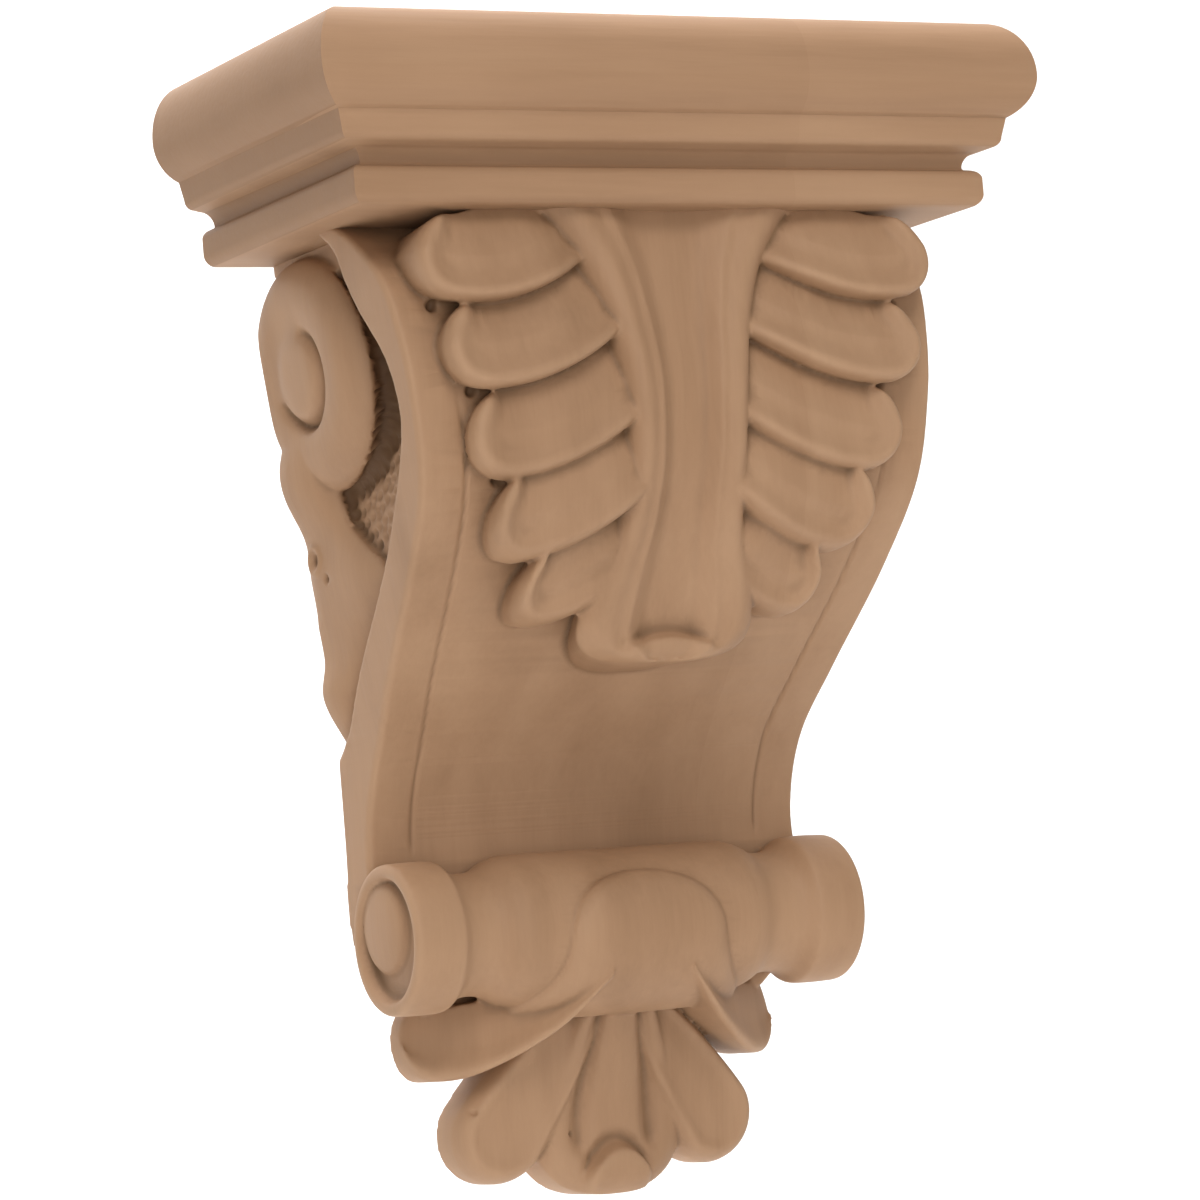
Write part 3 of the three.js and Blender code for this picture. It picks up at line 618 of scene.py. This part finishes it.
def hollowness(mesh):
    points, normals = mesh_arrays(mesh)
    edges = np.empty(len(mesh.edges) * 2, int)
    mesh.edges.foreach_get("vertices", edges)
    smoothed = relax(points, edges.reshape(-1, 2), HOLLOW_PASSES)
    depth = ((smoothed - points) * normals).sum(axis=1) / HOLLOW_DEPTH
    return np.clip(depth - HOLLOW_FLOOR * np.sign(depth), -1, 1) * (np.abs(depth) > HOLLOW_FLOOR)


fine_points, fine_normals = mesh_arrays(corbel.data)
fine_hollow = hollowness(corbel.data)
print("in hollows:", round(100 * float((fine_hollow > 0.3).mean()), 1), "% of the points")

# %% [markdown]
# The back is cut dead flat for the wall, and the crisp cap is joined on. Plain stretches then need far
# fewer faces, so the mesh is thinned. The thinned mesh borrows the shading direction and the hollows of
# the fine one, which keeps the surface looking sanded where the triangles are large.

# %% Flat back, and fewer faces where the surface is plain
TRIANGLE_BUDGET = 190000
WALL_CUT = 0.4
SHARP_CORNER = math.radians(38)


def combine(piece, other, operation):
    joint = piece.modifiers.new("joint", "BOOLEAN")
    joint.operation = operation
    joint.solver = "MANIFOLD"
    joint.object = other
    apply_modifiers(piece)
    bpy.data.objects.remove(other)


def block_behind_wall():
    bpy.ops.mesh.primitive_cube_add(size=WALL_CUT, location=(0, WALL_CUT / 2, 0))
    return bpy.context.object


def lighten(piece):
    triangles = sum(len(face.vertices) - 2 for face in piece.data.polygons)
    thin = piece.modifiers.new("thin", "DECIMATE")
    thin.ratio = min(1, TRIANGLE_BUDGET / triangles)
    thin.use_collapse_triangulate = True
    apply_modifiers(piece)


def borrow_fine_surface(piece):
    mesh = piece.data
    points, _ = mesh_arrays(mesh)
    tree = KDTree(len(fine_points))
    for i, point in enumerate(fine_points):
        tree.insert(point, i)
    tree.balance()
    cap_bottom = (HEIGHT / 2 - CAP_DROP) * MILLIMETRE
    carved = (points[:, 2] < cap_bottom - MILLIMETRE) & (points[:, 1] < -MILLIMETRE)
    nearest = np.zeros(len(points), int)
    for i in np.flatnonzero(carved):
        nearest[i] = tree.find(points[i])[1]
    corners = np.empty(len(mesh.loops) * 3)
    mesh.corner_normals.foreach_get("vector", corners)
    corners = corners.reshape(-1, 3)
    owner = np.empty(len(mesh.loops), int)
    mesh.loops.foreach_get("vertex_index", owner)
    corners[carved[owner]] = fine_normals[nearest[owner[carved[owner]]]]
    mesh.normals_split_custom_set(corners.tolist())
    # The hollow attribute drives painted shade in the material, and the crest attribute makes crests paler.
    hollow = np.where(carved, fine_hollow[nearest], 0)
    for name, values in (("hollow", np.maximum(hollow, 0)), ("crest", np.maximum(-hollow, 0))):
        mesh.attributes.new(name, "FLOAT", "POINT").data.foreach_set("value", values)


combine(corbel, join_forms("cap", [cap_form]), "UNION")
combine(corbel, block_behind_wall(), "DIFFERENCE")
lighten(corbel)
corbel.data.shade_smooth()
corbel.data.set_sharp_from_angle(angle=SHARP_CORNER)
borrow_fine_surface(corbel)
print("after cutting and thinning:", len(corbel.data.polygons), "triangles")

# %% [markdown]
# The wood is a pale tan hardwood, sanded and left raw: low in contrast, with fine straight fibre. The cap
# was sawn with its grain running sideways and the bracket with its grain upright, so the same grain
# group is placed twice with its stretch along a different axis.

# %% Grain as a node group
def grain_group():
    group = bpy.data.node_groups.new("straight_grain", "ShaderNodeTree")
    group.interface.new_socket("Vector", in_out="INPUT", socket_type="NodeSocketVector")
    group.interface.new_socket("Streaks", in_out="OUTPUT", socket_type="NodeSocketFloat")
    group.interface.new_socket("Fibre", in_out="OUTPUT", socket_type="NodeSocketFloat")
    nodes, links = group.nodes, group.links
    start, end = nodes.new("NodeGroupInput"), nodes.new("NodeGroupOutput")
    for output, scale, detail, distortion in (("Streaks", 55, 5, 0.35), ("Fibre", 620, 3, 0.1)):
        noise = nodes.new("ShaderNodeTexNoise")
        noise.inputs["Scale"].default_value = scale
        noise.inputs["Detail"].default_value = detail
        noise.inputs["Distortion"].default_value = distortion
        links.new(start.outputs["Vector"], noise.inputs["Vector"])
        links.new(noise.outputs[0], end.inputs[output])
    return group


# %% [markdown]
# The finish starts from three close tans. Streaks, blotches and fibre pick between them, the side faces of
# the cap are made darker, crests are made a little paler and hollows are given painted shade. One material
# holds all of this, since the real corbel is one wood with no paint.

# %% Raw hardwood
CAP_GRAIN = (0.06, 1, 1)
BRACKET_GRAIN = (1, 1, 0.06)
DARK_WOOD, MID_WOOD, PALE_WOOD = (0.27, 0.15, 0.077, 1), (0.335, 0.192, 0.104, 1), (0.39, 0.233, 0.131, 1)
# The first tone here is painted shade laid into the hollows; the second is the paler tone for crests.
PAINTED_HOLLOW_SHADE, PALER_CREST_WOOD = (0.085, 0.040, 0.014, 1), (0.44, 0.272, 0.158, 1)
GLUE_LINE, BOARD_STEP = 34 * MILLIMETRE, 0.05
SHARES = {"streaks": 0.55, "blotch": 0.3, "fibre": 0.15}
RAMP_STOPS, BLOTCH_SCALE, BLOTCH_DETAIL = (0.3, 0.5, 0.72), 11, 2
# How strongly crests are made paler, how strongly hollows get painted shade, and the specular level.
CREST_PALING, HOLLOW_SHADE_STRENGTH, SHINE = 0.3, 0.8, 0.32
ROUGH_LEAST, ROUGH_FIBRE = 0.56, 0.16
BUMP_STRENGTH, BUMP_HEIGHT, BUMP_STREAKS = 0.25, 0.3 * MILLIMETRE, 0.6
# The cap's faces that turn sideways are made darker with this tone.
CAP_SIDE_TURN, CAP_SIDE_DARKNESS, DARKER_CAP_SIDE_WOOD = 0.3, 0.75, (0.24, 0.132, 0.066, 1)


def raw_hardwood():
    material = bpy.data.materials.new("raw_hardwood")
    material.use_nodes = True
    nodes, links = material.node_tree.nodes, material.node_tree.links
    shader = nodes["Principled BSDF"]
    shader.inputs["Specular IOR Level"].default_value = SHINE
    place = nodes.new("ShaderNodeTexCoord").outputs["Object"]
    axes = nodes.new("ShaderNodeSeparateXYZ")
    links.new(place, axes.inputs[0])

    def math_node(operation, first, second):
        node = nodes.new("ShaderNodeMath")
        node.operation = operation
        for socket, value in zip(node.inputs, (first, second)):
            if isinstance(value, (int, float)):
                socket.default_value = value
            else:
                links.new(value, socket)
        return node.outputs[0]

    def mix(kind, factor, first, second, blend="MIX"):
        node = nodes.new("ShaderNodeMix")
        node.data_type = kind
        node.blend_type = blend
        at_socket = {"FLOAT": (0, 2, 3), "RGBA": (0, 6, 7)}[kind]
        for index, value in zip(at_socket, (factor, first, second)):
            if isinstance(value, bpy.types.NodeSocket):
                links.new(value, node.inputs[index])
            else:
                node.inputs[index].default_value = value
        return node.outputs[0 if kind == "FLOAT" else 2]

    group = grain_group()
    grains = []
    for stretch in (BRACKET_GRAIN, CAP_GRAIN):
        lay = nodes.new("ShaderNodeMapping")
        lay.inputs["Scale"].default_value = stretch
        links.new(place, lay.inputs["Vector"])
        grain = nodes.new("ShaderNodeGroup")
        grain.node_tree = group
        links.new(lay.outputs[0], grain.inputs["Vector"])
        grains.append(grain)
    on_cap = math_node("GREATER_THAN", axes.outputs["Z"], (HEIGHT / 2 - CAP_DROP) * MILLIMETRE)
    streaks = mix("FLOAT", on_cap, grains[0].outputs["Streaks"], grains[1].outputs["Streaks"])
    fibre = mix("FLOAT", on_cap, grains[0].outputs["Fibre"], grains[1].outputs["Fibre"])

    blotch = nodes.new("ShaderNodeTexNoise")
    blotch.inputs["Scale"].default_value = BLOTCH_SCALE
    blotch.inputs["Detail"].default_value = BLOTCH_DETAIL
    links.new(place, blotch.inputs["Vector"])
    board = math_node("MULTIPLY", math_node("GREATER_THAN", axes.outputs["X"], GLUE_LINE), BOARD_STEP)
    tone = math_node("MULTIPLY", streaks, SHARES["streaks"])
    tone = math_node("ADD", tone, math_node("MULTIPLY", blotch.outputs[0], SHARES["blotch"]))
    tone = math_node("ADD", tone, math_node("MULTIPLY", fibre, SHARES["fibre"]))
    tone = math_node("ADD", tone, board)
    ramp = nodes.new("ShaderNodeValToRGB")
    ramp.color_ramp.elements[0].position = RAMP_STOPS[0]
    ramp.color_ramp.elements[0].color = DARK_WOOD
    ramp.color_ramp.elements[1].position = RAMP_STOPS[2]
    ramp.color_ramp.elements[1].color = PALE_WOOD
    ramp.color_ramp.elements.new(RAMP_STOPS[1]).color = MID_WOOD
    links.new(tone, ramp.inputs[0])

    masks = {}
    for name in ("hollow", "crest"):
        masks[name] = nodes.new("ShaderNodeAttribute")
        masks[name].attribute_name = name
    facing = nodes.new("ShaderNodeSeparateXYZ")
    links.new(nodes.new("ShaderNodeNewGeometry").outputs["Normal"], facing.inputs[0])
    # Faces of the cap that turn sideways are mixed towards a darker tan.
    faces_sideways = math_node("GREATER_THAN", math_node("ABSOLUTE", facing.outputs["X"], 0), CAP_SIDE_TURN)
    darker_cap_sides = math_node("MULTIPLY", math_node("MULTIPLY", on_cap, faces_sideways), CAP_SIDE_DARKNESS)
    with_darker_cap_sides = mix("RGBA", darker_cap_sides, ramp.outputs[0], DARKER_CAP_SIDE_WOOD)
    # Crests are made a little paler, and hollows are darkened towards a deep brown as painted shade.
    crest_paling_amount = math_node("MULTIPLY", masks["crest"].outputs["Fac"], CREST_PALING)
    hollow_shade_amount = math_node("MULTIPLY", masks["hollow"].outputs["Fac"], HOLLOW_SHADE_STRENGTH)
    # Crests are mixed towards a paler tan.
    with_paler_crests = mix("RGBA", crest_paling_amount, with_darker_cap_sides, PALER_CREST_WOOD)
    with_hollow_shade = mix("RGBA", hollow_shade_amount, with_paler_crests, PAINTED_HOLLOW_SHADE)
    links.new(with_hollow_shade, shader.inputs["Base Color"])
    rough = math_node("ADD", ROUGH_LEAST, math_node("MULTIPLY", fibre, ROUGH_FIBRE))
    links.new(rough, shader.inputs["Roughness"])
    bump = nodes.new("ShaderNodeBump")
    bump.inputs["Strength"].default_value = BUMP_STRENGTH
    bump.inputs["Distance"].default_value = BUMP_HEIGHT
    links.new(math_node("ADD", fibre, math_node("MULTIPLY", streaks, BUMP_STREAKS)), bump.inputs["Height"])
    links.new(bump.outputs[0], shader.inputs["Normal"])
    return material


corbel.data.materials.clear()
corbel.data.materials.append(raw_hardwood())
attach(corbel, "root")
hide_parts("corbel")
print("finish:", corbel.data.materials[0].name)

# %% [markdown]
# The corbel is photographed from its lower left with a long lens, in front of plain white. The stage is a
# pale floor that curves up into a backdrop, so there is no horizon behind the carving. Two large soft
# lights stand in front, one above and one low on the left, and a pale room fills the shadows.

# %% Stage, light and camera
FLOOR_DROP, BACKDROP_BACK, STAGE_HALF, SWEEP = -0.55, 1.6, 4.0, 0.8
PAPER, PAPER_ROUGHNESS, ROOM_LIGHT = (0.9, 0.9, 0.9, 1), 0.9, 0.5


def stage():
    angle = np.linspace(0, quarter, 24)
    bend_back, bend_drop = BACKDROP_BACK - SWEEP, FLOOR_DROP + SWEEP
    profile = [(-STAGE_HALF, FLOOR_DROP)]
    profile += [(bend_back + SWEEP * math.sin(a), bend_drop - SWEEP * math.cos(a)) for a in angle]
    profile += [(BACKDROP_BACK, STAGE_HALF)]
    points = [(x, y, z) for y, z in profile for x in (-STAGE_HALF, STAGE_HALF)]
    faces = [(2 * i, 2 * i + 1, 2 * i + 3, 2 * i + 2) for i in range(len(profile) - 1)]
    mesh = bpy.data.meshes.new("pale_sweep")
    mesh.from_pydata(points, [], faces)
    mesh.shade_smooth()
    sweep = bpy.data.objects.new("pale_sweep", mesh)
    bpy.context.scene.collection.objects.link(sweep)
    paper = bpy.data.materials.new("pale_paper")
    paper.use_nodes = True
    shader = paper.node_tree.nodes["Principled BSDF"]
    shader.inputs["Base Color"].default_value = PAPER
    shader.inputs["Roughness"].default_value = PAPER_ROUGHNESS
    mesh.materials.append(paper)


def soft_light(name, place, target, size, power):
    lamp = bpy.data.lights.new(name, "AREA")
    lamp.shape = "DISK"
    lamp.size = size
    lamp.energy = power
    light = bpy.data.objects.new(name, lamp)
    light.location = place
    light.rotation_euler = (Vector(target) - Vector(place)).to_track_quat("-Z", "Y").to_euler()
    bpy.context.scene.collection.objects.link(light)


stage()
soft_light("key", (-0.6, -1.8, 1.4), (0, 0, 0), 1.0, 19)
soft_light("front_fill", (-0.9, -2.1, -0.2), (0, 0, 0), 1.0, 12)
soft_light("backdrop_light", (0, 0.4, 1.6), (0, 2.2, -0.2), 1.6, 60)
world = bpy.data.worlds.new("pale_room")
world.use_nodes = True
world.node_tree.nodes["Background"].inputs["Color"].default_value = (1, 1, 1, 1)
world.node_tree.nodes["Background"].inputs["Strength"].default_value = ROOM_LIGHT
bpy.context.scene.world = world
bpy.context.scene.view_settings.view_transform = "Standard"

# %% [markdown]
# The camera stands a little over a metre away, low and to the left, and is rolled by a few degrees as in
# the photograph. Its place was fitted to the straight edges of the cap, so it is written as three angles,
# a distance and a target. Building its axes by hand keeps the roll exact.

# %% Camera
CAMERA_TURN, CAMERA_RISE, CAMERA_ROLL = math.radians(-28.512), math.radians(-4.517), math.radians(-4.745)
CAMERA_DISTANCE, CAMERA_LENS, SENSOR = 1.204751, 141.455, 36
CAMERA_TARGET = Vector((-20.177, -70, 3.358)) * MILLIMETRE

level = math.cos(CAMERA_RISE)
back = Vector((math.sin(CAMERA_TURN) * level, -math.cos(CAMERA_TURN) * level, math.sin(CAMERA_RISE)))
right = (-back).cross(Vector((0, 0, 1))).normalized()
up = right.cross(-back)
side = math.cos(CAMERA_ROLL) * right + math.sin(CAMERA_ROLL) * up
head = -math.sin(CAMERA_ROLL) * right + math.cos(CAMERA_ROLL) * up
lens = bpy.data.cameras.new("camera")
lens.lens = CAMERA_LENS
lens.sensor_width = SENSOR
camera = bpy.data.objects.new("camera", lens)
bpy.context.scene.collection.objects.link(camera)
turn = Matrix((side, head, back)).transposed().to_4x4()
camera.matrix_world = Matrix.Translation(CAMERA_TARGET + back * CAMERA_DISTANCE) @ turn
bpy.context.scene.camera = camera
print("camera at", [round(value, 3) for value in camera.matrix_world.translation])
